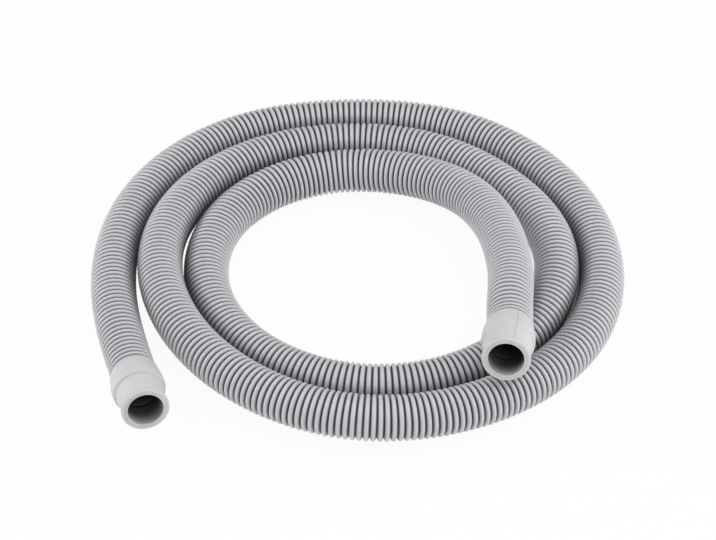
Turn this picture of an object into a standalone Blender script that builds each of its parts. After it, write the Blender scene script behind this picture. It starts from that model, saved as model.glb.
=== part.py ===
"""Dishwasher drain hose, lying on the floor in a loose coil of about two and two thirds turns.

The hose is one corrugated plastic tube with a moulded rubber cuff on each end. The tube is
modelled here at the diameter of its rib crests, hollow all the way, with a plain spigot on each
end that sits in the cuff's socket. Units are metres and +Z is up. The origin is the middle of
the footprint, on the floor.
"""

import math

import bmesh
import bpy
import numpy as np
from mathutils import Vector

# Corrugated tube
HOSE_DIAMETER = 0.0252
HOSE_BORE = 0.0190
HOSE_SIDES = 12
STATION_STEP = 0.018

# Plain spigot on each end of the tube
SPIGOT_DIAMETER = 0.0216
SPIGOT_LENGTH = 0.0140

# Moulded cuffs, both the same. Diameters first, then distances back from the mouth
CUFF_BORE = 0.0192
CUFF_SIDES = 24
MOUTH_EDGE = 0.0004
LIP_DIAMETER = 0.0260
NECK_DIAMETER = 0.0231
FRONT_DIAMETER = 0.0263
BARREL_DIAMETER = 0.0288
SLEEVE_DIAMETER = 0.0266
LIP_WIDTH = 0.0020
NECK_DISTANCE = 0.0044
FRONT_DISTANCE = 0.0125
CREASE_DISTANCE = 0.0155
STEP_WIDTH = 0.0011
BARREL_DISTANCE = 0.0215
SLEEVE_DISTANCE = 0.0288
CUFF_LENGTH = 0.0308

# Gap between pieces that touch
CLEARANCE = 0.0003

# Lowest point of the lying tube above the floor
FLOOR_GAP = 0.00015

# Where the middle of the coil lies from the origin
COIL_MIDDLE = (-0.00580, 0.00869)

# Each cuff: where its mouth is from the middle of the coil, how far the axis turns from -Y
# toward +X, and how far it tilts up, in degrees
LEFT_MOUTH = (-0.10615, -0.1362)
LEFT_HEADING = 14.3
LEFT_TILT = 4.0
RIGHT_MOUTH = (0.08320, -0.13045)
RIGHT_HEADING = -5.7
RIGHT_TILT = 9.5

# How far the right cuff's barrel lies above the top of the turns that it rests on
RIGHT_LIFT = 0.0028

# Route of the tube from the left cuff, clockwise seen from above, one point every 30 degrees:
# radius from the middle of the coil, and lift above a tube that lies on the floor
FIRST_AZIMUTH = 210
AZIMUTH_STEP = 30
TURNS = [
    (0.14190, 0.0004), (0.12920, 0.0000), (0.12710, 0.0000), (0.12680, 0.0000),
    (0.12550, 0.0000), (0.13120, 0.0000), (0.13470, 0.0000), (0.14050, 0.0000),
    (0.14720, 0.0003), (0.14740, 0.0018), (0.14180, 0.0042), (0.12570, 0.0058),
    (0.11140, 0.0063), (0.10360, 0.0053), (0.09990, 0.0039), (0.09850, 0.0026),
    (0.09880, 0.0021), (0.10140, 0.0027), (0.10490, 0.0042), (0.11480, 0.0052),
    (0.12110, 0.0029), (0.11980, 0.0003), (0.11220, 0.0001), (0.09860, 0.0000),
    (0.08590, 0.0001), (0.07770, 0.0001), (0.07440, 0.0001),
]

# Last stretch, which climbs over the outer turns to the right cuff: X, Y and lift
CLIMB = [
    (-0.0378, 0.0620, 0.0012), (-0.0025, 0.0715, 0.0034), (0.0324, 0.0642, 0.0070),
    (0.0639, 0.0411, 0.0120), (0.0835, -0.0010, 0.0185), (0.0876, -0.0268, 0.0222),
    (0.0887, -0.0552, 0.0253), (0.0874, -0.0757, 0.0269),
]


def axis_direction(heading, tilt):
    """Unit vector out of a cuff's mouth."""
    turn = math.radians(heading)
    rise = math.radians(tilt)
    return np.array([math.sin(turn) * math.cos(rise), -math.cos(turn) * math.cos(rise), math.sin(rise)])


def lying_height():
    """Height of the tube's centre line where it lies on the floor."""
    return HOSE_DIAMETER / 2 + FLOOR_GAP


def in_frame(x, y, z):
    """A point given from the middle of the coil, in the object's own frame."""
    return np.array([x + COIL_MIDDLE[0], y + COIL_MIDDLE[1], z])


def left_mouth():
    """Middle of the left cuff's mouth: the cuff's barrel rests on the floor."""
    height = BARREL_DIAMETER / 2 + FLOOR_GAP + BARREL_DISTANCE * math.sin(math.radians(LEFT_TILT))
    return in_frame(*LEFT_MOUTH, height)


def right_mouth():
    """Middle of the right cuff's mouth: its barrel lies across the outer turns."""
    over_turns = HOSE_DIAMETER + BARREL_DIAMETER / 2 + RIGHT_LIFT
    height = over_turns + BARREL_DISTANCE * math.sin(math.radians(RIGHT_TILT))
    return in_frame(*RIGHT_MOUTH, height)


def route_points():
    """The route's own points, from one cuff's inner end to the other's."""
    low = lying_height()
    points = [left_mouth() - axis_direction(LEFT_HEADING, LEFT_TILT) * CUFF_LENGTH]
    for number, (radius, lift) in enumerate(TURNS):
        azimuth = math.radians(FIRST_AZIMUTH - AZIMUTH_STEP * number)
        points.append(in_frame(radius * math.cos(azimuth), radius * math.sin(azimuth), low + lift))
    for x, y, lift in CLIMB:
        points.append(in_frame(x, y, low + lift))
    points.append(right_mouth() - axis_direction(RIGHT_HEADING, RIGHT_TILT) * CUFF_LENGTH)
    return np.array(points)


def smooth_curve(points, start_direction, end_direction, count):
    """Points of a cubic spline through the given points, with the given directions at its ends."""
    steps = np.linalg.norm(np.diff(points, axis=0), axis=1)
    knots = np.concatenate([[0.0], np.cumsum(steps)])
    slopes = np.diff(points, axis=0) / steps[:, None]
    last = len(points) - 1
    matrix = np.zeros((last + 1, last + 1))
    right_side = np.zeros((last + 1, 3))
    matrix[0, 0:2] = (2 * steps[0], steps[0])
    right_side[0] = 6 * (slopes[0] - start_direction)
    matrix[last, last - 1:] = (steps[-1], 2 * steps[-1])
    right_side[last] = 6 * (end_direction - slopes[-1])
    for i in range(1, last):
        matrix[i, i - 1:i + 2] = (steps[i - 1], 2 * (steps[i - 1] + steps[i]), steps[i])
        right_side[i] = 6 * (slopes[i] - slopes[i - 1])
    bends = np.linalg.solve(matrix, right_side)
    where = np.linspace(0.0, knots[-1], count)
    span = np.clip(np.searchsorted(knots, where, side="right") - 1, 0, last - 1)
    after = ((where - knots[span]) / steps[span])[:, None]
    before = 1 - after
    square = (steps[span] ** 2)[:, None]
    curve = before * points[span] + after * points[span + 1]
    curve += (before ** 3 - before) * bends[span] * square / 6
    curve += (after ** 3 - after) * bends[span + 1] * square / 6
    return curve


def centre_line():
    """The tube's whole centre line: straight in each cuff, and a smooth curve between them."""
    into_left = -axis_direction(LEFT_HEADING, LEFT_TILT)
    out_right = axis_direction(RIGHT_HEADING, RIGHT_TILT)
    curve = smooth_curve(route_points(), into_left, out_right, 4000)
    return np.vstack([left_mouth(), curve, right_mouth()])


def stations(line, distances):
    """Centre and two crosswise unit vectors at each distance along the line."""
    lengths = np.linalg.norm(np.diff(line, axis=0), axis=1)
    travelled = np.concatenate([[0.0], np.cumsum(lengths)])
    found = []
    for distance in distances:
        place = [np.interp(distance, travelled, line[:, k]) for k in range(3)]
        ahead = [np.interp(distance + 0.0005, travelled, line[:, k]) for k in range(3)]
        behind = [np.interp(distance - 0.0005, travelled, line[:, k]) for k in range(3)]
        along = (Vector(ahead) - Vector(behind)).normalized()
        side = along.cross(Vector((0, 0, 1))).normalized()
        found.append((Vector(place), side, side.cross(along)))
    return found


def ring(mesh, station, radius, sides):
    """A ring of vertices across the tube, one of them at the bottom."""
    centre, side, up = station
    corners = []
    for k in range(sides):
        angle = 2 * math.pi * k / sides
        corners.append(mesh.verts.new(centre + radius * (math.sin(angle) * side - math.cos(angle) * up)))
    return corners


def bridge(mesh, first, second):
    """A band of faces between two rings of equal count."""
    count = len(first)
    for k in range(count):
        following = (k + 1) % count
        mesh.faces.new((first[k], first[following], second[following], second[k]))


def finish_object(name, mesh, material):
    """Turn the mesh into a smooth-shaded object with sharp edges kept."""
    bmesh.ops.recalc_face_normals(mesh, faces=mesh.faces)
    data = bpy.data.meshes.new(name)
    mesh.to_mesh(data)
    mesh.free()
    data.materials.append(material)
    data.shade_smooth()
    data.set_sharp_from_angle(angle=math.radians(40))
    result = bpy.data.objects.new(name, data)
    bpy.context.scene.collection.objects.link(result)
    return result


def plastic(name, colour, roughness):
    """A plain plastic or rubber material."""
    material = bpy.data.materials.new(name)
    material.use_nodes = True
    shader = material.node_tree.nodes["Principled BSDF"]
    shader.inputs["Base Color"].default_value = (*colour, 1.0)
    shader.inputs["Roughness"].default_value = roughness
    shader.inputs["Metallic"].default_value = 0.0
    return material


def corrugated_hose(material):
    """The hollow tube: rings run out along the outside and back along the bore."""
    line = centre_line()
    total = float(np.linalg.norm(np.diff(line, axis=0), axis=1).sum())
    end = CUFF_LENGTH - SPIGOT_LENGTH + CLEARANCE
    shoulder = CUFF_LENGTH + CLEARANCE
    count = round((total - 2 * shoulder) / STATION_STEP) + 1
    crests = list(np.linspace(shoulder, total - shoulder, count))
    outside = [(end, SPIGOT_DIAMETER), (shoulder, SPIGOT_DIAMETER)]
    outside += [(distance, HOSE_DIAMETER) for distance in crests]
    outside += [(total - shoulder, SPIGOT_DIAMETER), (total - end, SPIGOT_DIAMETER)]
    inside = [total - end, *reversed(crests[::2]), end]
    section = outside + [(distance, HOSE_BORE) for distance in inside]
    mesh = bmesh.new()
    places = stations(line, [distance for distance, _ in section])
    rings = [
        ring(mesh, place, diameter / 2, HOSE_SIDES)
        for place, (_, diameter) in zip(places, section)
    ]
    for first, second in zip(rings, rings[1:] + rings[:1]):
        bridge(mesh, first, second)
    return finish_object("corrugated_hose", mesh, material)


def cuff_profile():
    """Closed outline of a cuff: distance back from the mouth, and radius."""
    bore = CUFF_BORE / 2
    lip = LIP_DIAMETER / 2
    neck = NECK_DIAMETER / 2
    front = FRONT_DIAMETER / 2
    barrel = BARREL_DIAMETER / 2
    sleeve = SLEEVE_DIAMETER / 2
    socket = SPIGOT_DIAMETER / 2 + CLEARANCE
    socket_floor = CUFF_LENGTH - SPIGOT_LENGTH
    taper = SLEEVE_DISTANCE - BARREL_DISTANCE
    return [
        (MOUTH_EDGE, bore),
        (0.0, bore + MOUTH_EDGE),
        (0.0, lip - LIP_WIDTH * 0.45),
        (LIP_WIDTH * 0.15, lip - LIP_WIDTH * 0.15),
        (LIP_WIDTH * 0.5, lip),
        (LIP_WIDTH, lip),
        ((LIP_WIDTH + NECK_DISTANCE) / 2, (lip + neck) / 2),
        (NECK_DISTANCE, neck),
        ((NECK_DISTANCE + FRONT_DISTANCE) / 2, neck + (front - neck) * 0.47),
        (FRONT_DISTANCE, neck + (front - neck) * 0.82),
        (CREASE_DISTANCE, front),
        (CREASE_DISTANCE + STEP_WIDTH, front + (barrel - front) * 0.8),
        (BARREL_DISTANCE - STEP_WIDTH * 2, barrel),
        (BARREL_DISTANCE, barrel),
        (BARREL_DISTANCE + taper * 0.25, barrel - (barrel - sleeve) * 0.05),
        (BARREL_DISTANCE + taper * 0.42, barrel - (barrel - sleeve) * 0.4),
        (BARREL_DISTANCE + taper * 0.6, barrel - (barrel - sleeve) * 0.8),
        (SLEEVE_DISTANCE, sleeve),
        (CUFF_LENGTH, sleeve),
        (CUFF_LENGTH, socket),
        (socket_floor, socket),
        (socket_floor, bore),
    ]


def cuff(name, mouth, heading, tilt, material):
    """One cuff, turned about its own axis and set with that axis out of its mouth."""
    mesh = bmesh.new()
    outline = [mesh.verts.new((radius, 0.0, -distance)) for distance, radius in cuff_profile()]
    edges = [mesh.edges.new(pair) for pair in zip(outline, outline[1:] + outline[:1])]
    bmesh.ops.spin(
        mesh,
        geom=outline + edges,
        cent=(0, 0, 0),
        axis=(0, 0, 1),
        angle=2 * math.pi,
        steps=CUFF_SIDES,
    )
    bmesh.ops.remove_doubles(mesh, verts=mesh.verts, dist=0.00001)
    result = finish_object(name, mesh, material)
    result.location = Vector(mouth)
    result.rotation_mode = "QUATERNION"
    result.rotation_quaternion = Vector(axis_direction(heading, tilt)).to_track_quat("Z", "Y")
    return result


def main():
    for old in list(bpy.data.objects):
        bpy.data.objects.remove(old)
    tube_plastic = plastic("hose_plastic", (0.42, 0.41, 0.42), 0.40)
    cuff_rubber = plastic("cuff_rubber", (0.60, 0.59, 0.61), 0.60)
    corrugated_hose(tube_plastic)
    cuff("left_cuff", left_mouth(), LEFT_HEADING, LEFT_TILT, cuff_rubber)
    cuff("right_cuff", right_mouth(), RIGHT_HEADING, RIGHT_TILT, cuff_rubber)


main()
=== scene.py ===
"""Looks of a dishwasher drain hose: its ribbed tube, its two moulded cuffs and a plain studio.

Units are metres, +Z is up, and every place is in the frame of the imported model. Each piece is a
surface worked out with numpy: a profile carried along the hose's line, or turned about a cuff's
axis. The sizes and colours are properties of the scene, shown in the sidebar.
"""

import math

import bpy
import numpy as np
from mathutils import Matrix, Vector


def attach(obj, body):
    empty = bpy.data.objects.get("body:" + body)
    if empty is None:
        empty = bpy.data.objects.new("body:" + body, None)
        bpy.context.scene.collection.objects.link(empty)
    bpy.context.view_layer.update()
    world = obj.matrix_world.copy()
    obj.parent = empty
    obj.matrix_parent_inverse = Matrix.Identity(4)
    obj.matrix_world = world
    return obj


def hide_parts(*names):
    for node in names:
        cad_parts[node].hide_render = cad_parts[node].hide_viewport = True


bl_info = {
    "name": "Drain hose",
    "version": (1, 0, 0),
    "blender": (4, 5, 0),
    "location": "View3D > Sidebar > Drain hose",
    "description": "Builds a coiled corrugated drain hose with its moulded cuffs",
    "category": "Add Mesh",
}

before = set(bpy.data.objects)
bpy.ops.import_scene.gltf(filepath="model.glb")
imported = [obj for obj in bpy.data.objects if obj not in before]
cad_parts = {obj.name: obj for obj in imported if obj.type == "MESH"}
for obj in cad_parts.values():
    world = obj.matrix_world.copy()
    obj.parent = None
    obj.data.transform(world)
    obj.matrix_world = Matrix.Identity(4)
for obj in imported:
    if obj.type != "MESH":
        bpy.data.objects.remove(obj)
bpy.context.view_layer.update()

# Sizes that the solid model has too. COIL_MIDDLE is the middle of the coil from the origin,
# TUBE_DIAMETER goes over the ribs, FLOOR_GAP lies under the lowest places, CLEARANCE is the room
# round a spigot in its cuff, and SLEEVE_STEP is how far a cuff's sleeve stands out over the ribs
COIL_MIDDLE = (-0.00580, 0.00869)
TUBE_DIAMETER = 0.0252
BARREL_DIAMETER = 0.0288
FLOOR_GAP = 0.00015
CUFF_LENGTH = 0.0308
SPIGOT_DIAMETER = 0.0216
SPIGOT_LENGTH = 0.0140
CLEARANCE = 0.0003
SLEEVE_STEP = 0.0007

# Distance from a cuff's mouth back to the crease in front of its barrel, and to its widest part,
# which rests on the floor or the turns
CREASE_DISTANCE = 0.0156
BARREL_DISTANCE = 0.0215

# Each cuff: where its mouth is from the middle of the coil, how far the axis turns from -Y
# toward +X, and how far it tilts up, in degrees
LEFT_MOUTH = (-0.10615, -0.1362)
LEFT_HEADING = 14.3
LEFT_TILT = 4.0
RIGHT_MOUTH = (0.08320, -0.13045)
RIGHT_HEADING = -5.7
RIGHT_TILT = 9.5
RIGHT_LIFT = 0.0028

# Route of the tube from the left cuff, clockwise seen from above, one point every 30 degrees:
# radius from the middle of the coil, and lift above a tube that lies on the floor
FIRST_AZIMUTH = 210
AZIMUTH_STEP = 30
TURNS = [
    (0.14190, 0.0004), (0.12920, 0.0000), (0.12710, 0.0000), (0.12680, 0.0000),
    (0.12550, 0.0000), (0.13120, 0.0000), (0.13470, 0.0000), (0.14050, 0.0000),
    (0.14720, 0.0003), (0.14740, 0.0018), (0.14180, 0.0042), (0.12570, 0.0058),
    (0.11140, 0.0063), (0.10360, 0.0053), (0.09990, 0.0039), (0.09850, 0.0026),
    (0.09880, 0.0021), (0.10140, 0.0027), (0.10490, 0.0042), (0.11480, 0.0052),
    (0.12110, 0.0029), (0.11980, 0.0003), (0.11220, 0.0001), (0.09860, 0.0000),
    (0.08590, 0.0001), (0.07770, 0.0001), (0.07440, 0.0001),
]

# Last stretch, which climbs over the outer turns to the right cuff: X, Y and lift
CLIMB = [
    (-0.0378, 0.0620, 0.0012), (-0.0025, 0.0715, 0.0034), (0.0324, 0.0642, 0.0070),
    (0.0639, 0.0411, 0.0120), (0.0835, -0.0010, 0.0185), (0.0876, -0.0268, 0.0222),
    (0.0887, -0.0552, 0.0253), (0.0874, -0.0757, 0.0269),
]

# The line is read every 3 mm to find neighbouring turns. Places that are less than 7 cm apart
# along it belong to the same turn
LINE_STEP = 0.003
SAME_TURN = 0.07

# Real sizes of the surfaces' patterns: a drift of the colour, and patches of more and less gloss
COLOUR_DRIFT = 0.0455
GLOSS_PATCH = 0.00625

# The floor: half its side, and half of the part with fine squares, which the coil covers. The
# painted shadow in the gap lies to the right of GAP_SIDE, between turns that are lifted less than
# GAP_LIFT. WHITE_SHARE is how much of the floor's look is plain white
FLOOR_HALF = 6.0
COIL_HALF = 0.17
FINE_LINES = 137
GAP_SIDE = 0.08
GAP_LIFT = 0.008
WHITE_SHARE = 0.94

# Softboxes, and the point that the camera looks at
SOFTBOX_SIDE = 1.2
SOFTBOX_DISTANCE = 1.5
CAMERA_TARGET = (0.0, 0.00962, 0.0)
SENSOR_WIDTH = 36.0


class TubeSettings(bpy.types.PropertyGroup):
    """Sizes of the ribbed tube."""

    rib_pitch: bpy.props.FloatProperty(
        name="Rib pitch", description="Distance from one rib to the next along the tube",
        default=0.00338, min=0.001, unit="LENGTH", precision=5)
    rib_depth: bpy.props.FloatProperty(
        name="Rib depth", description="How deep the grooves between the ribs are",
        default=0.0019, min=0.0, unit="LENGTH", precision=5)
    groove_share: bpy.props.FloatProperty(
        name="Groove share", description="Share of the pitch that the grooves' flat bottoms take",
        default=0.12, min=0.05, max=0.4)
    bore: bpy.props.FloatProperty(
        name="Bore", description="Inner diameter of the tube",
        default=0.0190, min=0.001, unit="LENGTH", precision=5)
    spigot: bpy.props.FloatProperty(
        name="Spigot", description="Diameter of the plain ends inside the cuffs",
        default=SPIGOT_DIAMETER, min=0.001, unit="LENGTH", precision=5)
    sides: bpy.props.IntProperty(
        name="Sides", description="Faces around the tube", default=24, min=8)


class CuffSettings(bpy.types.PropertyGroup):
    """Sizes of a moulded cuff."""

    bore: bpy.props.FloatProperty(
        name="Bore", description="Inner diameter at the mouth",
        default=0.0192, min=0.001, unit="LENGTH", precision=5)
    lip: bpy.props.FloatProperty(
        name="Lip", description="Outer diameter of the lip round the mouth",
        default=0.0260, min=0.001, unit="LENGTH", precision=5)
    neck: bpy.props.FloatProperty(
        name="Neck", description="Outer diameter of the neck behind the lip",
        default=0.0231, min=0.001, unit="LENGTH", precision=5)
    front: bpy.props.FloatProperty(
        name="Front", description="Outer diameter in front of the crease",
        default=0.0263, min=0.001, unit="LENGTH", precision=5)
    sides: bpy.props.IntProperty(
        name="Sides", description="Faces around the cuff", default=180, min=16)
    seam_height: bpy.props.FloatProperty(
        name="Seam height", description="How far the mould seam stands out",
        default=0.00010, min=0.0, unit="LENGTH", precision=6)
    seam_width: bpy.props.FloatProperty(
        name="Seam width", description="How wide the mould seam is",
        default=0.0007, min=0.0001, unit="LENGTH", precision=6)


class FinishSettings(bpy.types.PropertyGroup):
    """Colours of the materials, as sRGB hex values."""

    tube_colour: bpy.props.StringProperty(
        name="Tube", description="Light grey of the ribbed tube, as sRGB hex", default="D2CFD4")
    # Painted shade: the dark grey that the grooves, the gaps between turns and a cuff's crease are
    # mixed toward; it is also the cuffs' darker seam line
    painted_shade_and_seam_colour: bpy.props.StringProperty(
        name="Groove", description="Dark grey in the grooves and between turns, as sRGB hex",
        default="3E3841")
    # Painted shade: a cuff's colour is mixed toward this dark grey deep in the bore
    bore_shade_colour: bpy.props.StringProperty(
        name="Bore", description="Dark grey deep inside a cuff, as sRGB hex", default="5A565D")
    # Painted shade: the tube's inside is the same plastic, painted this dark grey as shade
    inner_shade_colour: bpy.props.StringProperty(
        name="Inside", description="Dark grey inside the tube, as sRGB hex", default="322F34")
    cuff_colour: bpy.props.StringProperty(
        name="Cuff", description="Light grey of the moulded cuffs, as sRGB hex", default="D5D3D5")


class StageSettings(bpy.types.PropertyGroup):
    """Camera and light."""

    elevation: bpy.props.FloatProperty(
        name="Elevation", description="Angle of the camera above the floor",
        default=math.radians(39.0), subtype="ANGLE", unit="ROTATION")
    distance: bpy.props.FloatProperty(
        name="Distance", description="Distance from the camera to the point it looks at",
        default=1.8756, min=0.1, unit="LENGTH", precision=4)
    focal_length: bpy.props.FloatProperty(
        name="Focal length", description="Focal length of the camera, in millimetres",
        default=167.74, min=1.0)
    world_strength: bpy.props.FloatProperty(
        name="Surround light", description="Strength of the even light from all sides",
        default=0.24, min=0.0)
    left_power: bpy.props.FloatProperty(
        name="Left lamp", description="Power of the low softbox at the left, in watts",
        default=12.0, min=0.0, unit="POWER")
    right_power: bpy.props.FloatProperty(
        name="Right lamp", description="Power of the low softbox at the right, in watts",
        default=8.2, min=0.0, unit="POWER")
    upper_power: bpy.props.FloatProperty(
        name="Upper lamp", description="Power of the high softbox at the right, in watts",
        default=4.1, min=0.0, unit="POWER")
    overhead_power: bpy.props.FloatProperty(
        name="Overhead lamp", description="Power of the softbox overhead, in watts",
        default=5.0, min=0.0, unit="POWER")
    front_power: bpy.props.FloatProperty(
        name="Front lamp", description="Power of the low softbox at the front, in watts",
        default=5.2, min=0.0, unit="POWER")


def axis_direction(heading, tilt):
    """Unit vector toward the front, -Y, turned by the heading toward +X and tilted up."""
    turn = math.radians(heading)
    rise = math.radians(tilt)
    level = math.cos(rise)
    return np.array([math.sin(turn) * level, -math.cos(turn) * level, math.sin(rise)])


def in_frame(x, y, z):
    """A point given from the middle of the coil, in the object's own frame."""
    return np.array([x + COIL_MIDDLE[0], y + COIL_MIDDLE[1], z])


def cuff_mouth(place, tilt, under):
    """Middle of a mouth whose barrel rests at a height: half the barrel, and the tilt's rise."""
    height = under + BARREL_DIAMETER / 2 + BARREL_DISTANCE * math.sin(math.radians(tilt))
    return in_frame(*place, height)


def cuff_places():
    """Mouth and outward axis of each cuff."""
    left = cuff_mouth(LEFT_MOUTH, LEFT_TILT, FLOOR_GAP)
    right = cuff_mouth(RIGHT_MOUTH, RIGHT_TILT, TUBE_DIAMETER + RIGHT_LIFT)
    return {
        "left": (left, axis_direction(LEFT_HEADING, LEFT_TILT)),
        "right": (right, axis_direction(RIGHT_HEADING, RIGHT_TILT)),
    }


def route_points(left, right):
    """The route's own points, from one cuff's inner end to the other's."""
    low = TUBE_DIAMETER / 2 + FLOOR_GAP
    points = [left[0] - left[1] * CUFF_LENGTH]
    for number, (radius, lift) in enumerate(TURNS):
        azimuth = math.radians(FIRST_AZIMUTH - AZIMUTH_STEP * number)
        points.append(in_frame(radius * math.cos(azimuth), radius * math.sin(azimuth), low + lift))
    for x, y, lift in CLIMB:
        points.append(in_frame(x, y, low + lift))
    points.append(right[0] - right[1] * CUFF_LENGTH)
    return np.array(points)


def smooth_curve(points, start_direction, end_direction, count):
    """Cubic spline through the points, with the given directions at its ends.

    Between two points at distance h the curve is the straight mix of both, plus
    (a^3 - a) h^2 / 6 times the bend at each point, where a is that point's share of the mix. The
    bends solve one linear system, which keeps the slope continuous.
    """
    steps = np.linalg.norm(np.diff(points, axis=0), axis=1)
    knots = np.concatenate([[0.0], np.cumsum(steps)])
    slopes = np.diff(points, axis=0) / steps[:, None]
    last = len(points) - 1
    matrix = np.zeros((last + 1, last + 1))
    right_side = np.zeros((last + 1, 3))
    matrix[0, 0:2] = (2 * steps[0], steps[0])
    right_side[0] = 6 * (slopes[0] - start_direction)
    matrix[last, last - 1:] = (steps[-1], 2 * steps[-1])
    right_side[last] = 6 * (end_direction - slopes[-1])
    for i in range(1, last):
        matrix[i, i - 1:i + 2] = (steps[i - 1], 2 * (steps[i - 1] + steps[i]), steps[i])
        right_side[i] = 6 * (slopes[i] - slopes[i - 1])
    bends = np.linalg.solve(matrix, right_side)
    where = np.linspace(0.0, knots[-1], count)
    span = np.clip(np.searchsorted(knots, where, side="right") - 1, 0, last - 1)
    after = ((where - knots[span]) / steps[span])[:, None]
    before = 1 - after
    square = (steps[span] ** 2)[:, None]
    curve = before * points[span] + after * points[span + 1]
    curve += (before ** 3 - before) * bends[span] * square / 6
    curve += (after ** 3 - after) * bends[span + 1] * square / 6
    return curve


class HoseLine:
    """The tube's centre line: straight in each cuff, and a smooth curve between them."""

    # The plain ends reach this far from the mouths, and the ribs begin just outside the cuffs
    end = CUFF_LENGTH - SPIGOT_LENGTH + CLEARANCE
    shoulder = CUFF_LENGTH + CLEARANCE

    def __init__(self):
        places = cuff_places()
        left, right = places["left"], places["right"]
        curve = smooth_curve(route_points(left, right), -left[1], right[1], count=40000)
        self.points = np.vstack([left[0], curve, right[0]])
        lengths = np.linalg.norm(np.diff(self.points, axis=0), axis=1)
        self.travelled = np.concatenate([[0.0], np.cumsum(lengths)])
        self.length = float(self.travelled[-1])

    def at(self, distances):
        """Points at the distances along the line, read linearly between its fine points."""
        columns = [np.interp(distances, self.travelled, self.points[:, k]) for k in range(3)]
        return np.stack(columns, axis=1)

    def crosswise(self, distances):
        """Unit vectors across the line at each distance: side = along x up, top = side x along."""
        half_step = 0.0005
        along = self.at(distances + half_step) - self.at(distances - half_step)
        along /= np.linalg.norm(along, axis=1)[:, None]
        side = np.cross(along, (0.0, 0.0, 1.0))
        side /= np.linalg.norm(side, axis=1)[:, None]
        return side, np.cross(side, along)


def grid_faces(rings, sides):
    """Quads between neighbouring rings of vertices, the last ring joined to the first one.

    One row of four corner numbers for each face, counted ring by ring.
    """
    row = np.arange(rings)[:, None]
    column = np.arange(sides)[None, :]
    next_row = (row + 1) % rings
    next_column = (column + 1) % sides
    corners = np.broadcast_arrays(row * sides + column, row * sides + next_column,
                                  next_row * sides + next_column, next_row * sides + column)
    return np.stack(corners, axis=-1).reshape(-1, 4)


def new_piece(name, points, faces, body="root"):
    """A smooth-shaded mesh object at the origin that moves with a body of the frame."""
    mesh = bpy.data.meshes.new(name)
    mesh.vertices.add(len(points))
    mesh.vertices.foreach_set("co", np.asarray(points, np.float32).ravel())
    mesh.loops.add(faces.size)
    mesh.loops.foreach_set("vertex_index", faces.ravel().astype(np.int32))
    mesh.polygons.add(len(faces))
    starts = np.arange(0, faces.size, faces.shape[1], dtype=np.int32)
    mesh.polygons.foreach_set("loop_start", starts)
    mesh.update(calc_edges=True)
    mesh.validate()
    mesh.shade_smooth()
    piece = bpy.data.objects.new(name, mesh)
    bpy.context.scene.collection.objects.link(piece)
    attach(piece, body)
    return piece


def store_attribute(piece, name, values):
    """One number for each vertex, for the material to read."""
    attribute = piece.data.attributes.new(name, "FLOAT", "POINT")
    attribute.data.foreach_set("value", np.asarray(values, np.float32))


def set_face_materials(piece, materials, slots):
    """Give the piece its materials, and each face the number of its slot."""
    for material in materials:
        piece.data.materials.append(material)
    piece.data.polygons.foreach_set("material_index", np.asarray(slots, np.int32))
    piece.data.update()


def linear_colour(code):
    """An sRGB hex value as linear red, green, blue and alpha."""
    values = [int(code[k:k + 2], 16) / 255 for k in (0, 2, 4)]
    linear = [v / 12.92 if v <= 0.04045 else ((v + 0.055) / 1.055) ** 2.4 for v in values]
    return (*linear, 1.0)


def add_node(tree, kind, settings=None, inputs=None):
    """Add a node, set its attributes and its inputs, and link an input that is given as a socket."""
    node = tree.nodes.new(kind)
    for key, value in (settings or {}).items():
        setattr(node, key, value)
    for key, value in (inputs or {}).items():
        if isinstance(value, bpy.types.NodeSocket):
            tree.links.new(value, node.inputs[key])
        else:
            node.inputs[key].default_value = value
    return node


def new_material(name):
    """An empty node material, its tree and its surface output."""
    material = bpy.data.materials.new(name)
    material.use_nodes = True
    tree = material.node_tree
    tree.nodes.clear()
    output = tree.nodes.new("ShaderNodeOutputMaterial")
    return material, tree, output


def shade(code, factor):
    """A hex colour made lighter or darker by a factor, as linear colour."""
    red, green, blue, alpha = linear_colour(code)
    return (red * factor, green * factor, blue * factor, alpha)


def darkened(tree, tint, attribute, start, end, most, code):
    """A colour mixed toward a dark one by an attribute: not at all at the start, most at the end."""
    value = add_node(tree, "ShaderNodeAttribute", {"attribute_name": attribute})
    share = add_node(tree, "ShaderNodeMapRange", None,
                     {"Value": value.outputs["Fac"], "From Min": start, "From Max": end,
                      "To Min": 0.0, "To Max": most})
    mixed = add_node(tree, "ShaderNodeMix", {"data_type": "RGBA"},
                     {"Factor": share.outputs["Result"], "A": tint, "B": linear_colour(code)})
    return mixed.outputs["Result"]


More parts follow.
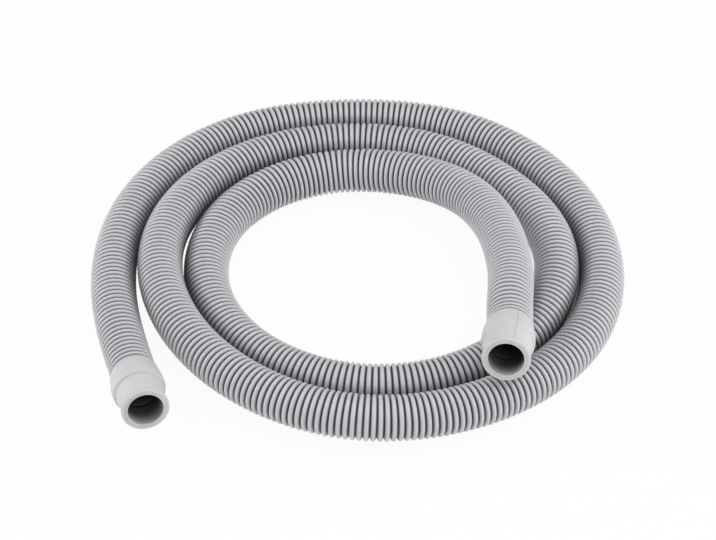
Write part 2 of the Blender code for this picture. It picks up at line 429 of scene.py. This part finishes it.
def moulded_surface(name, code, variation, roughness, grain, bump, ior, dark=()):
    """A moulded plastic or rubber: soft colour drift, roughness that varies, and a fine grain.

    The colour drifts to both sides of the code's shade by the variation. The grain's size and the
    bump's height are in metres. Each entry of dark is an attribute that darkens the colour, as
    the function darkened takes it.
    """
    roughness_swing = 0.05
    material, tree, output = new_material(name)
    place = add_node(tree, "ShaderNodeTexCoord")
    drift = add_node(tree, "ShaderNodeTexNoise", {"noise_dimensions": "3D"},
                     {"Vector": place.outputs["Object"], "Scale": 1.0 / COLOUR_DRIFT,
                      "Detail": 3.0, "Roughness": 0.55})
    colour = add_node(tree, "ShaderNodeMix", {"data_type": "RGBA"},
                      {"Factor": drift.outputs["Fac"], "A": shade(code, 1.0 - variation),
                       "B": shade(code, 1.0 + variation)})
    tint = colour.outputs["Result"]
    for step in dark:
        tint = darkened(tree, tint, *step)
    patches = add_node(tree, "ShaderNodeTexNoise", {"noise_dimensions": "3D"},
                       {"Vector": place.outputs["Object"], "Scale": 1.0 / GLOSS_PATCH,
                        "Detail": 2.0})
    gloss = add_node(tree, "ShaderNodeMapRange", None,
                     {"Value": patches.outputs["Fac"], "From Min": 0.3, "From Max": 0.7,
                      "To Min": roughness - roughness_swing, "To Max": roughness + roughness_swing})
    fine = add_node(tree, "ShaderNodeTexNoise", {"noise_dimensions": "3D"},
                    {"Vector": place.outputs["Object"], "Scale": 1.0 / grain, "Detail": 2.0})
    relief = add_node(tree, "ShaderNodeBump", None,
                      {"Strength": 1.0, "Distance": bump, "Height": fine.outputs["Fac"]})
    shader = add_node(tree, "ShaderNodeBsdfPrincipled", None,
                      {"Base Color": tint, "Roughness": gloss.outputs["Result"],
                       "Normal": relief.outputs["Normal"], "IOR": ior})
    tree.links.new(shader.outputs["BSDF"], output.inputs["Surface"])
    return material


def hose_plastic(colours):
    """Blow-moulded polypropylene: a semi-gloss skin, which gives each rib a soft bright line.

    Its colour is painted darker as shade down in the grooves, from 15% to 80% of their depth, and
    where the next turn is less than 8.5 mm away, since little light gets there.
    """
    return moulded_surface("blow_moulded_polypropylene", colours.tube_colour, variation=0.03,
                           roughness=0.37, grain=0.0006, bump=0.00002, ior=1.49,
                           # Painted shade in the grooves, by their depth, and between turns, by the
                           # gap to the next turn
                           dark=[("depth", 0.15, 0.80, 0.95, colours.painted_shade_and_seam_colour),
                                 ("gap", 0.0085, 0.0, 0.90, colours.painted_shade_and_seam_colour)])


def shaded_bore_plastic(colours):
    """The same plastic inside the tube, duller, its colour painted dark grey as the shade deep
    inside.
    """
    return moulded_surface("polypropylene_bore_shade", colours.inner_shade_colour, variation=0.05,
                           roughness=0.5, grain=0.001, bump=0.00002, ior=1.49)


def cuff_rubber(colours):
    """Moulded rubber: smooth and matt, so a cuff looks even and has no sharp highlight.

    Its colour is painted darker as shade over the first 10 mm of the bore and a little at the
    crease, and is a little darker along the seams.
    """
    return moulded_surface("moulded_rubber", colours.cuff_colour, variation=0.02,
                           roughness=0.55, grain=0.0008, bump=0.00003, ior=1.52,
                           # Painted shade deep in the bore, and painted shade at the crease with a
                           # darker line along the seams
                           dark=[("inward", -0.002, 0.010, 0.97, colours.bore_shade_colour),
                                 ("crease_shade_and_seam_line", 0.0, 1.0, 0.22, colours.painted_shade_and_seam_colour)])


def tube_surface(line, distances, radii, sides):
    """Rings across the line: centre + r (sin a side - cos a top), a running once round."""
    centres = line.at(distances)
    side, top = line.crosswise(distances)
    angle = np.linspace(0, 2 * np.pi, sides, endpoint=False)
    across, up = np.sin(angle)[None, :, None], np.cos(angle)[None, :, None]
    out = across * side[:, None, :] - up * top[:, None, :]
    return (centres[:, None, :] + radii[:, None, None] * out).reshape(-1, 3)


def neighbour_gaps(line, points, distances, sides):
    """Distance from each vertex to the surface of the nearest other turn, at most 2 cm.

    It is the distance to the centre line of the other turns, less half a diameter.
    """
    farthest = 0.02
    travelled = np.arange(0.0, line.length, LINE_STEP)
    others = line.at(travelled)
    rows = points.reshape(len(distances), sides, 3)
    gaps = np.empty((len(distances), sides))
    batch = 100
    for start in range(0, len(distances), batch):
        part = slice(start, start + batch)
        apart = np.linalg.norm(rows[part, :, None] - others, axis=-1)
        own = np.abs(distances[part, None] - travelled) < SAME_TURN
        gaps[part] = np.where(own[:, None], 1.0, apart).min(axis=-1) - TUBE_DIAMETER / 2
    return np.minimum(gaps, farthest).ravel()


class DrainHoseTube(bpy.types.Operator):
    """Build the ribbed tube along the hose's line"""

    bl_idname = "mesh.drain_hose_tube"
    bl_label = "Ribbed tube"

    def execute(self, context):
        sizes = context.scene.drain_hose_tube
        colours = context.scene.drain_hose_finish
        line = HoseLine()
        end, shoulder = line.end, line.shoulder
        ribbed = line.length - 2 * shoulder
        ribs = round(ribbed / sizes.rib_pitch)
        # Each rib is between half an ellipse and a parabola: its depth below the crest is the
        # mean of 1 - sqrt(1 - w^2) and w^2 at the share w of its half width
        width = np.array([-1.0, -0.82, -0.5, 0.0, 0.5, 0.82, 1.0])
        depths = (1 - np.sqrt(1 - width ** 2) + width ** 2) / 2
        phase = (np.arange(ribs)[:, None] + 0.5 + width * (1 - sizes.groove_share) / 2).ravel()
        along = shoulder + ribbed * phase / ribs
        groove = np.tile(depths, ribs)
        radius = TUBE_DIAMETER / 2 - sizes.rib_depth * groove
        inner = np.linspace(line.length - end, end, 110)
        far_end = [line.length - shoulder, line.length - end]
        distances = np.concatenate([[end, shoulder], along, far_end, inner])
        radii = np.concatenate([[sizes.spigot / 2] * 2, radius, [sizes.spigot / 2] * 2,
                                np.full(len(inner), sizes.bore / 2)])
        points = tube_surface(line, distances, radii, sizes.sides)
        piece = new_piece("ribbed_hose", points, grid_faces(len(distances), sizes.sides))
        below = np.concatenate([[0.0, 0.0], groove, [0.0, 0.0], np.zeros(len(inner))])
        store_attribute(piece, "depth", np.repeat(below, sizes.sides))
        gaps = neighbour_gaps(line, points, distances, sizes.sides)
        store_attribute(piece, "gap", gaps)
        # The outside is the ribs and two rings at each end, and the bore starts at its last ring
        outside = 4 + len(along)
        slots = np.zeros((len(distances), sizes.sides), np.int32)
        slots[outside - 1:] = 1
        set_face_materials(piece, [hose_plastic(colours), shaded_bore_plastic(colours)], slots.ravel())
        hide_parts("corrugated_hose")
        return {"FINISHED"}


def cuff_outline(sizes):
    """Distance back from the mouth and radius along a cuff's section, as a closed fine line.

    The outer side is drawn with straight lines between a few corners and then rounded: each
    radius is the mean of the lines' radius over a width on both sides of it.
    """
    bore, lip, neck, front = sizes.bore / 2, sizes.lip / 2, sizes.neck / 2, sizes.front / 2
    barrel, sleeve = BARREL_DIAMETER / 2, TUBE_DIAMETER / 2 + SLEEVE_STEP
    socket = SPIGOT_DIAMETER / 2 + CLEARANCE
    floor = CUFF_LENGTH - SPIGOT_LENGTH
    slope = front - neck
    bead_radius, lip_radius, rounding = 0.0005, 0.0012, 0.0004
    corner_distance = (0.0012, 0.0024, 0.0037, 0.0046, 0.0080, 0.0125, 0.0149, 0.0155,
                       0.0163, 0.0180, 0.0232, 0.0258, 0.0280, CUFF_LENGTH)
    corner_radius = (lip, lip, neck + 0.0001, neck, neck + slope * 0.44, neck + slope * 0.82, front,
                     front - 0.0005, barrel - 0.0003, barrel, barrel - 0.0001, sleeve + 0.0006,
                     sleeve + 0.0002, sleeve)
    # Mouth: an inner edge bead, a flat face and a round lip, from the bore outward
    bead = np.linspace(np.pi, 0, 9)
    curl = np.linspace(-np.pi / 2, np.pi / 2, 9)
    outer = np.linspace(0.0013, CUFF_LENGTH - 0.0004, 99)
    spread = np.linspace(-rounding, rounding, 9)
    rounded = np.interp(outer[:, None] + spread, corner_distance, corner_radius).mean(axis=1)
    inner = np.linspace(floor, bead_radius, 9)[1:-1]
    distance = [bead_radius - bead_radius * np.sin(bead), lip_radius + lip_radius * np.sin(curl),
                outer, (CUFF_LENGTH, CUFF_LENGTH, floor, floor), inner]
    radius = [bore + bead_radius + bead_radius * np.cos(bead),
              lip - lip_radius + lip_radius * np.cos(curl),
              rounded, (sleeve - 0.0005, socket, socket, bore), np.full(len(inner), bore)]
    return np.concatenate(distance), np.concatenate(radius)


def cuff_surface(sizes, mouth, axis, seam_angle, crease_shade_strength):
    """A cuff's section turned about its axis, with two mould seams opposite each other.

    Point = mouth - d axis + (r + seam) (cos a side + sin a top). The seam is a low ridge,
    h exp(-(distance from the seam's line / width)^2), on the outer side. The third array is how
    much the material darkens each vertex: painted shade in bells of the same form along the
    crease, at its strength, and a darker line along the seams, at full strength.
    """
    crease_width = 0.0007
    line_width = 0.0004
    distance, radius = cuff_outline(sizes)
    side = np.cross(-axis, (0.0, 0.0, 1.0))
    side /= np.linalg.norm(side)
    top = np.cross(side, -axis)
    angle = np.linspace(0, 2 * np.pi, sizes.sides, endpoint=False)
    out = np.cos(angle)[:, None] * side + np.sin(angle)[:, None] * top
    away = (angle[None, :] - seam_angle + np.pi / 2) % np.pi - np.pi / 2
    ridge = np.exp(-(away * radius[:, None] / sizes.seam_width) ** 2) * sizes.seam_height
    # The seams run on the outer side only, from behind the lip to the edge over the ribs
    outer = radius > sizes.bore / 2 + 0.0015
    outer &= (distance > 0.003) & (distance < CUFF_LENGTH - 0.0002)
    reach = radius[:, None] + ridge * outer[:, None]
    points = mouth - distance[:, None, None] * axis + reach[:, :, None] * out[None]
    # Painted shade along the crease in front of the barrel, and a darker line along each seam
    crease = np.exp(-((distance - CREASE_DISTANCE) / crease_width) ** 2) * crease_shade_strength
    line = np.exp(-(away * radius[:, None] / line_width) ** 2)
    crease_shade_and_seam_lines = np.where(outer[:, None], np.maximum(crease[:, None], line), 0.0)
    return points.reshape(-1, 3), grid_faces(len(distance), sizes.sides), crease_shade_and_seam_lines.ravel()


class DrainHoseCuffs(bpy.types.Operator):
    """Build the two moulded cuffs"""

    bl_idname = "mesh.drain_hose_cuffs"
    bl_label = "Moulded cuffs"

    def execute(self, context):
        sizes = context.scene.drain_hose_cuff
        colours = context.scene.drain_hose_finish
        rubber = cuff_rubber(colours)
        # Only the right cuff's seam is turned to the front, and the left one's crease has the
        # stronger painted shade
        seams = {"left": math.radians(8), "right": math.radians(72)}
        crease_shades = {"left": 0.6, "right": 0.2}
        distance, radius = cuff_outline(sizes)
        # Distance into the bore, for the painted shade there, and a place in front of the mouth for
        # the outer side
        inward = np.where(radius < sizes.bore / 2 + 0.0003, distance, -0.01)
        for name, (mouth, axis) in cuff_places().items():
            points, faces, crease_shade_and_seam_lines = cuff_surface(sizes, mouth, axis, seams[name], crease_shades[name])
            piece = new_piece(f"{name}_cuff_moulding", points, faces)
            store_attribute(piece, "inward", np.repeat(inward, sizes.sides))
            store_attribute(piece, "crease_shade_and_seam_line", crease_shade_and_seam_lines)
            set_face_materials(piece, [rubber], np.zeros(len(faces)))
            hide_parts(f"{name}_cuff")
        return {"FINISHED"}


class DrainHoseStage(bpy.types.Operator):
    """Add the floor, the light and the camera"""

    bl_idname = "scene.drain_hose_stage"
    bl_label = "Stage"

    def execute(self, context):
        stage = context.scene.drain_hose_stage
        add_floor()
        add_world(stage.world_strength)
        for name, azimuth, elevation, power in (
            ("left_softbox", 270, 26, stage.left_power),
            ("right_softbox", 90, 26, stage.right_power),
            ("upper_softbox", 90, 58, stage.upper_power),
            ("overhead_softbox", 0, 88, stage.overhead_power),
            ("front_softbox", 25, 26, stage.front_power),
        ):
            add_softbox(name, azimuth, elevation, power)
        add_camera(stage)
        context.scene.view_settings.view_transform = "Standard"
        return {"FINISHED"}


def floor_outside_gap_shadow(points):
    """Mask of the painted shadow: 0 between the two turns that nearly touch at the right, 1
    elsewhere.

    Between two turns the distances from both centre lines add up to a diameter and the gap, so
    the value is that sum less a diameter and the closed gap, divided by the fade and kept from
    0 to 1.
    """
    closed = 0.0018
    fade = 0.0015
    line = HoseLine()
    travelled = np.arange(0.0, line.length, LINE_STEP)
    spots = line.at(travelled)
    low = (spots[:, 2] < TUBE_DIAMETER / 2 + GAP_LIFT) & (spots[:, 0] > GAP_SIDE)
    travelled, spots = travelled[low], spots[low, :2]
    apart = np.linalg.norm(points[:, None, :2] - spots, axis=-1)
    nearest = travelled[apart.argmin(axis=1)]
    other = np.abs(travelled - nearest[:, None]) > SAME_TURN
    both = apart.min(axis=1) + np.where(other, apart, 1.0).min(axis=1)
    return np.clip((both - TUBE_DIAMETER - closed) / fade, 0.0, 1.0)


def sweep_paper():
    """White paper sweep: plain white to the eye and in a gloss, with a faint shadow.

    A small share of it is matt paper that takes the light, and all of it is in the painted shadow
    between the turns at the right, where the white is left out so that the narrow gap looks dark.
    """
    material, tree, output = new_material("white_paper_sweep")
    rays = add_node(tree, "ShaderNodeLightPath")
    seen = add_node(tree, "ShaderNodeMath", {"operation": "MAXIMUM"},
                    {0: rays.outputs["Is Camera Ray"], 1: rays.outputs["Is Glossy Ray"]})
    seen_all = add_node(tree, "ShaderNodeMath", {"operation": "MAXIMUM"},
                        {0: seen.outputs[0], 1: rays.outputs["Is Transmission Ray"]})
    outside_gap_shadow_share = add_node(tree, "ShaderNodeAttribute", {"attribute_name": "outside_gap_shadow"})
    white_share = add_node(tree, "ShaderNodeMath", {"operation": "MULTIPLY"},
                           {0: outside_gap_shadow_share.outputs["Fac"], 1: WHITE_SHARE})
    share = add_node(tree, "ShaderNodeMath", {"operation": "MULTIPLY"},
                     {0: seen_all.outputs[0], 1: white_share.outputs[0]})
    paper = add_node(tree, "ShaderNodeBsdfDiffuse", None, {"Color": linear_colour("FAFAFA")})
    white = add_node(tree, "ShaderNodeEmission", None, {"Color": (1, 1, 1, 1), "Strength": 1.0})
    mix = add_node(tree, "ShaderNodeMixShader", None,
                   {0: share.outputs[0], 1: paper.outputs[0], 2: white.outputs[0]})
    tree.links.new(mix.outputs[0], output.inputs["Surface"])
    return material


def add_floor():
    """A wide floor, z = 0 on a grid of x and y, with fine squares under the coil."""
    fine = np.linspace(-COIL_HALF, COIL_HALF, FINE_LINES)
    across = np.concatenate([[-FLOOR_HALF], fine, [FLOOR_HALF]])
    count = len(across)
    x, y = np.meshgrid(across, across)
    points = np.stack([x.ravel(), y.ravel(), np.zeros(count * count)], axis=1)
    corner = (np.arange(count - 1)[:, None] * count + np.arange(count - 1)).ravel()
    faces = np.stack([corner, corner + 1, corner + count + 1, corner + count], axis=1)
    mesh = bpy.data.meshes.new("floor")
    mesh.from_pydata(points.tolist(), [], faces.tolist())
    mesh.materials.append(sweep_paper())
    floor = bpy.data.objects.new("floor", mesh)
    bpy.context.scene.collection.objects.link(floor)
    # The floor's mask of the painted shadow in the gap between turns
    store_attribute(floor, "outside_gap_shadow", floor_outside_gap_shadow(points))


def add_world(strength):
    """An even white surround, as in a light tent."""
    world = bpy.data.worlds.new("light_tent")
    bpy.context.scene.world = world
    world.use_nodes = True
    tree = world.node_tree
    tree.nodes.clear()
    rays = add_node(tree, "ShaderNodeLightPath")
    white = (1, 1, 1, 1)
    light = add_node(tree, "ShaderNodeBackground", None, {"Color": white, "Strength": strength})
    seen = add_node(tree, "ShaderNodeBackground", None, {"Color": white, "Strength": 1.0})
    mix = add_node(tree, "ShaderNodeMixShader", None,
                   {0: rays.outputs["Is Camera Ray"], 1: light.outputs[0], 2: seen.outputs[0]})
    output = tree.nodes.new("ShaderNodeOutputWorld")
    tree.links.new(mix.outputs[0], output.inputs["Surface"])


def add_softbox(name, azimuth, elevation, power):
    """A square lamp that faces the coil. Azimuth is from the front toward the right."""
    away = Vector(axis_direction(azimuth, elevation))
    data = bpy.data.lights.new(name, "AREA")
    data.size = SOFTBOX_SIDE
    data.energy = power
    lamp = bpy.data.objects.new(name, data)
    bpy.context.scene.collection.objects.link(lamp)
    lamp.location = away * SOFTBOX_DISTANCE
    lamp.rotation_euler = away.to_track_quat("Z", "Y").to_euler()


def add_camera(stage):
    """The photograph's view: level, from the front, looking down at the coil's middle."""
    back = Vector((0.0, -math.cos(stage.elevation), math.sin(stage.elevation)))
    data = bpy.data.cameras.new("camera")
    data.lens = stage.focal_length
    data.sensor_width = SENSOR_WIDTH
    data.sensor_fit = "HORIZONTAL"
    camera = bpy.data.objects.new("camera", data)
    bpy.context.scene.collection.objects.link(camera)
    camera.location = Vector(CAMERA_TARGET) + back * stage.distance
    camera.rotation_euler = (math.pi / 2 - stage.elevation, 0.0, 0.0)
    bpy.context.scene.camera = camera


class DrainHosePanel(bpy.types.Panel):
    """Lists the pieces and their sizes"""

    bl_idname = "VIEW3D_PT_drain_hose"
    bl_label = "Drain hose"
    bl_space_type = "VIEW_3D"
    bl_region_type = "UI"
    bl_category = "Drain hose"

    def draw(self, context):
        for heading, settings, operator in (
            ("Tube", context.scene.drain_hose_tube, DrainHoseTube),
            ("Cuffs", context.scene.drain_hose_cuff, DrainHoseCuffs),
            ("Colours", context.scene.drain_hose_finish, None),
            ("Stage", context.scene.drain_hose_stage, DrainHoseStage),
        ):
            box = self.layout.box()
            box.label(text=heading)
            for key in settings.__annotations__:
                box.prop(settings, key)
            if operator:
                box.operator(operator.bl_idname)


SETTINGS = {
    "drain_hose_tube": TubeSettings,
    "drain_hose_cuff": CuffSettings,
    "drain_hose_finish": FinishSettings,
    "drain_hose_stage": StageSettings,
}
OPERATORS = (DrainHoseTube, DrainHoseCuffs, DrainHoseStage)


def register():
    """Register the settings, the operators and the panel."""
    for name, settings in SETTINGS.items():
        bpy.utils.register_class(settings)
        setattr(bpy.types.Scene, name, bpy.props.PointerProperty(type=settings))
    for operator in OPERATORS:
        bpy.utils.register_class(operator)
    bpy.utils.register_class(DrainHosePanel)


def unregister():
    """Undo what register does, in reverse."""
    bpy.utils.unregister_class(DrainHosePanel)
    for operator in reversed(OPERATORS):
        bpy.utils.unregister_class(operator)
    for name, settings in reversed(SETTINGS.items()):
        delattr(bpy.types.Scene, name)
        bpy.utils.unregister_class(settings)


def declare_cord():
    """Work out the hose's line; nothing more is done with it."""
    line = HoseLine()


def main():
    """Build the scene, in order."""
    register()
    bpy.ops.mesh.drain_hose_tube()
    bpy.ops.mesh.drain_hose_cuffs()
    declare_cord()
    bpy.ops.scene.drain_hose_stage()


if __name__ == "__main__":
    main()
